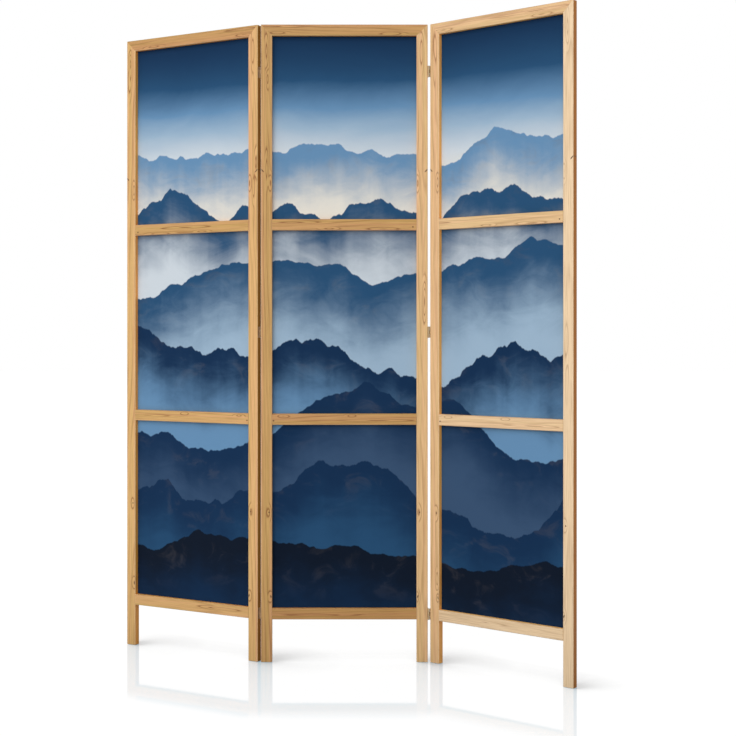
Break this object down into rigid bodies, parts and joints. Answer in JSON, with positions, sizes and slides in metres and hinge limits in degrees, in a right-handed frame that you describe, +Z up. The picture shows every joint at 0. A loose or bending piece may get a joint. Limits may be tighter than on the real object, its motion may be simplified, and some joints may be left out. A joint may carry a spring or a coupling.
{
  "type": "folding screen",
  "caption": "Free-standing folding screen: pine stile-and-rail panels with recessed printed cloth, joined in a zigzag by small butt hinges so that it folds flat.",
  "frame": {"origin": "on the floor, under the middle of the standing screen's plan", "axes": "+Z up, the front with the printed side faces -Y, +X to the right seen from the front"},
  "size_m": [1.2104, 0.5332, 1.72],
  "materials": {
    "pine": "clear satin lacquer on honey-coloured pine",
    "printed_cloth": "matt non-woven cloth, printed on the front",
    "hinge_steel": "zinc-plated sheet steel",
    "screw_steel": "zinc-plated steel"
  },
  "bodies": {
    "middle_panel": {"left_bottom_hinge_middle_leaf": "hinge_steel", "left_bottom_hinge_pin": "hinge_steel", "left_middle_hinge_middle_leaf": "hinge_steel", "left_middle_hinge_pin": "hinge_steel", "left_top_hinge_middle_leaf": "hinge_steel", "left_top_hinge_pin": "hinge_steel", "middle_beads": "pine", "middle_bottom_cloth": "printed_cloth", "middle_bottom_rail": "pine", "middle_left_hinge_screws": "screw_steel", "middle_left_stile": "pine", "middle_lower_rail": "pine", "middle_middle_cloth": "printed_cloth", "middle_right_hinge_screws": "screw_steel", "middle_right_stile": "pine", "middle_top_cloth": "printed_cloth", "middle_top_rail": "pine", "middle_upper_rail": "pine", "right_bottom_hinge_middle_leaf": "hinge_steel", "right_bottom_hinge_pin": "hinge_steel", "right_middle_hinge_middle_leaf": "hinge_steel", "right_middle_hinge_pin": "hinge_steel", "right_top_hinge_middle_leaf": "hinge_steel", "right_top_hinge_pin": "hinge_steel"},
    "left_panel": {"left_beads": "pine", "left_bottom_cloth": "printed_cloth", "left_bottom_hinge_outer_leaf": "hinge_steel", "left_bottom_rail": "pine", "left_left_stile": "pine", "left_lower_rail": "pine", "left_middle_cloth": "printed_cloth", "left_middle_hinge_outer_leaf": "hinge_steel", "left_panel_hinge_screws": "screw_steel", "left_right_stile": "pine", "left_top_cloth": "printed_cloth", "left_top_hinge_outer_leaf": "hinge_steel", "left_top_rail": "pine", "left_upper_rail": "pine"},
    "right_panel": {"right_beads": "pine", "right_bottom_cloth": "printed_cloth", "right_bottom_hinge_outer_leaf": "hinge_steel", "right_bottom_rail": "pine", "right_left_stile": "pine", "right_lower_rail": "pine", "right_middle_cloth": "printed_cloth", "right_middle_hinge_outer_leaf": "hinge_steel", "right_panel_hinge_screws": "screw_steel", "right_right_stile": "pine", "right_top_cloth": "printed_cloth", "right_top_hinge_outer_leaf": "hinge_steel", "right_top_rail": "pine", "right_upper_rail": "pine"}
  },
  "joints": [
    {"name": "left_fold", "type": "hinge", "parent": "middle_panel", "child": "left_panel", "pos_m": [-0.20663, 0.04244, 0.86], "axis": [0, 0, -1], "range_deg": [-30, 150]},
    {"name": "right_fold", "type": "hinge", "parent": "middle_panel", "child": "right_panel", "pos_m": [0.24617, 0.02154, 0.86], "axis": [0, 0, -1], "range_deg": [-40, 140]}
  ]
}
